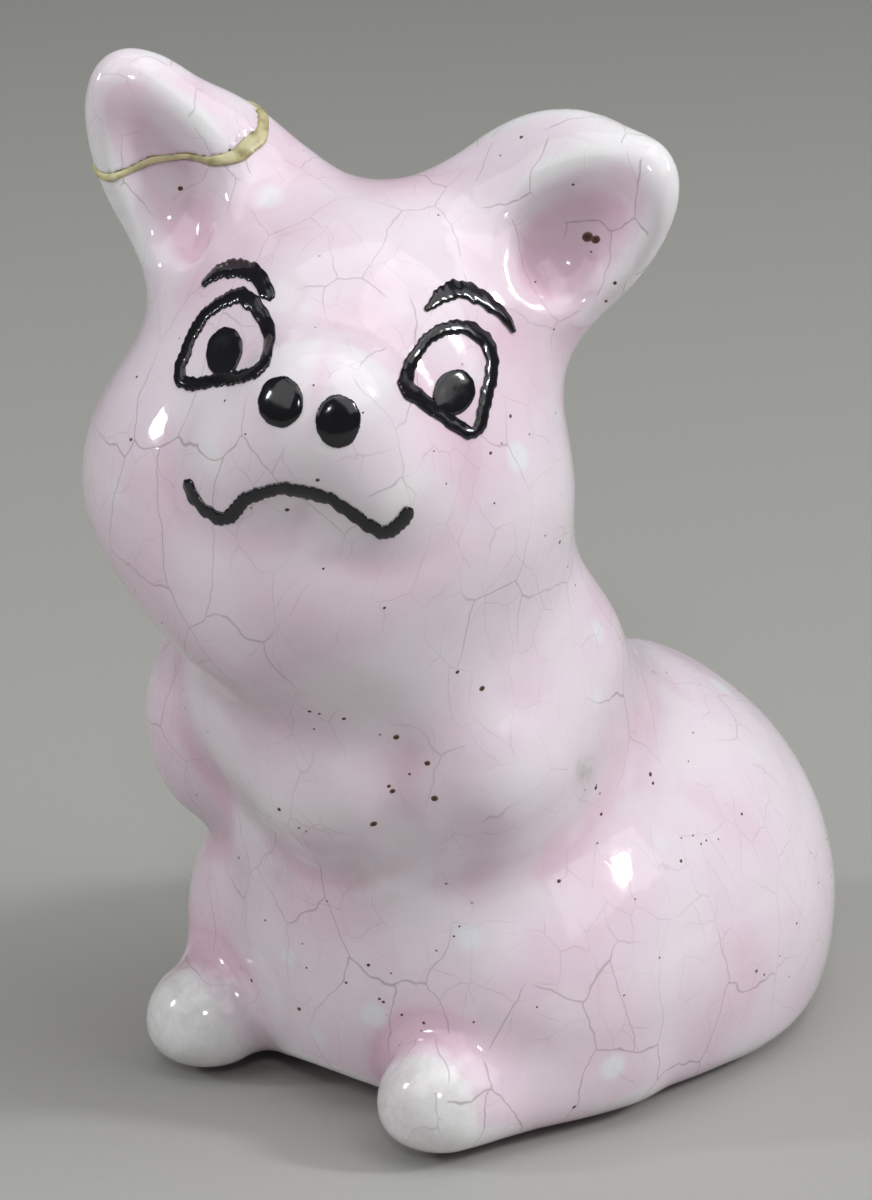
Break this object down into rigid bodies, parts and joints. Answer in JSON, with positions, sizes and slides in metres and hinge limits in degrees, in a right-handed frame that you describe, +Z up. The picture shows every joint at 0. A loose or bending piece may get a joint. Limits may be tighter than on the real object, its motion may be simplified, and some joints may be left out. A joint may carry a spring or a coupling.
{
  "type": "piggy bank",
  "caption": "Hollow glazed earthenware pig coin bank that sits upright, with a slot along its back, a rubber stopper in its base, hand-painted black features and one ear glued back on.",
  "frame": {"origin": "on the table, under the middle of the object's box", "axes": "+Z up, -Y the way the pig's chest and feet point, +X the pig's own left"},
  "size_m": [0.0582, 0.0841, 0.1042],
  "materials": {
    "pink_glaze": "glossy crazed pale pink glaze over white slip-cast earthenware, pinker where it pooled in the hollows",
    "black_enamel": "glossy raised black overglaze enamel, brushed by hand",
    "aged_glue": "yellowed translucent adhesive, squeezed out of the break in a thin bead",
    "stopper_rubber": "soft grey moulded rubber, slightly dusty"
  },
  "bodies": {
    "bank": {"body_shell": "pink_glaze", "ear_tip_right": "pink_glaze", "glue_seam": "aged_glue", "brow_right": "black_enamel", "brow_left": "black_enamel", "eye_outline_right": "black_enamel", "eye_outline_left": "black_enamel", "pupil_right": "black_enamel", "pupil_left": "black_enamel", "nostril_right": "black_enamel", "nostril_left": "black_enamel", "mouth_line": "black_enamel"},
    "stopper": {"base_stopper": "stopper_rubber"}
  },
  "joints": [
    {"name": "stopper_pull", "type": "slide", "parent": "bank", "child": "stopper", "axis": [0, 0, -1], "range_m": [0, 0.025]}
  ]
}
